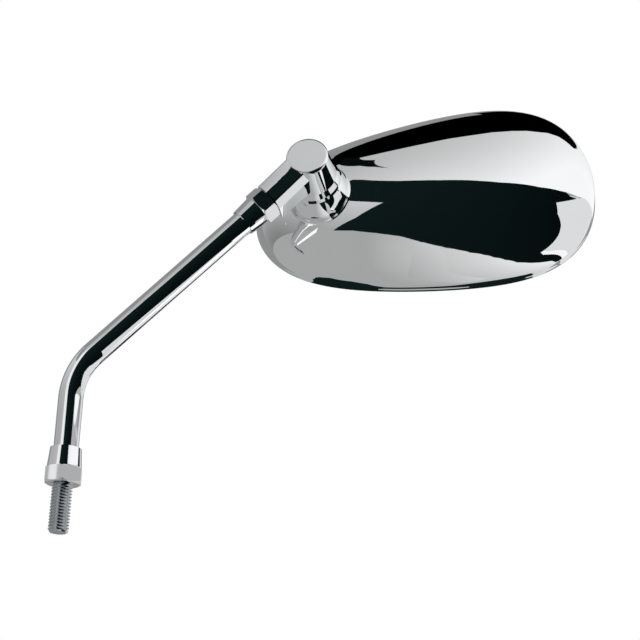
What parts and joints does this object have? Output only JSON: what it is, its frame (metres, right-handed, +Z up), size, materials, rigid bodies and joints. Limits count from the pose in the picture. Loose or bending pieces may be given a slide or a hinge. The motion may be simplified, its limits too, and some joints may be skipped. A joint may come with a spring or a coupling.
{
  "type": "motorcycle mirror",
  "caption": "Left-hand motorcycle mirror: bent round stem with a threaded mounting stud and locknuts, cast knuckle with a ball joint, and an egg-shaped chromed head with convex glass.",
  "frame": {"origin": "on the threaded stud's axis, in the seat plane of the lower locknut", "axes": "+Z up the stud, +X outboard in the plane of the stem's bend, +Y towards the rider, the way the glass faces"},
  "size_m": [0.2628, 0.0664, 0.2486],
  "materials": {
    "chromed_metal": "polished",
    "plain_steel": "satin",
    "nylon": "satin",
    "chromed_plastic": "polished",
    "seal_rubber": "matte",
    "mirror_glass": "polished",
    "foam": "matte",
    "carrier_plastic": "matte"
  },
  "bodies": {
    "stem": {"stem": "chromed_metal", "base_locknut": "chromed_metal", "knuckle_locknut": "chromed_metal"},
    "knuckle": {"knuckle": "chromed_metal", "seat_ring": "nylon", "clamp_bolt": "plain_steel", "disc_springs": "plain_steel", "clamp_washer": "plain_steel", "clamp_nut": "plain_steel"},
    "cup": {"pressure_cup": "plain_steel"},
    "liner": {"friction_liner": "nylon"},
    "head": {"housing": "chromed_plastic", "glass_seal": "seal_rubber", "mirror_glass": "mirror_glass", "foam_pad": "foam", "glass_carrier": "carrier_plastic", "carrier_screws": "plain_steel"}
  },
  "joints": [
    {"name": "knuckle_turn", "type": "hinge", "parent": "stem", "child": "knuckle", "pos_m": [0.10611, 0, 0.16889], "axis": [0.6833, 0, 0.7302], "range_deg": [-90, 90]},
    {"name": "head_swivel", "type": "hinge", "parent": "knuckle", "child": "cup", "pos_m": [0.11076, 0.02496, 0.16455], "axis": [0.1803, 0.969, -0.1688], "range_deg": [-30, 30]},
    {"name": "head_pan", "type": "hinge", "parent": "cup", "child": "liner", "pos_m": [0.11076, 0.02496, 0.16455], "axis": [-0.2118, 0.2058, 0.9554], "range_deg": [-12, 12]},
    {"name": "head_tilt", "type": "hinge", "parent": "liner", "child": "head", "pos_m": [0.11076, 0.02496, 0.16455], "axis": [0.9605, -0.1366, 0.2424], "range_deg": [-12, 12]}
  ]
}
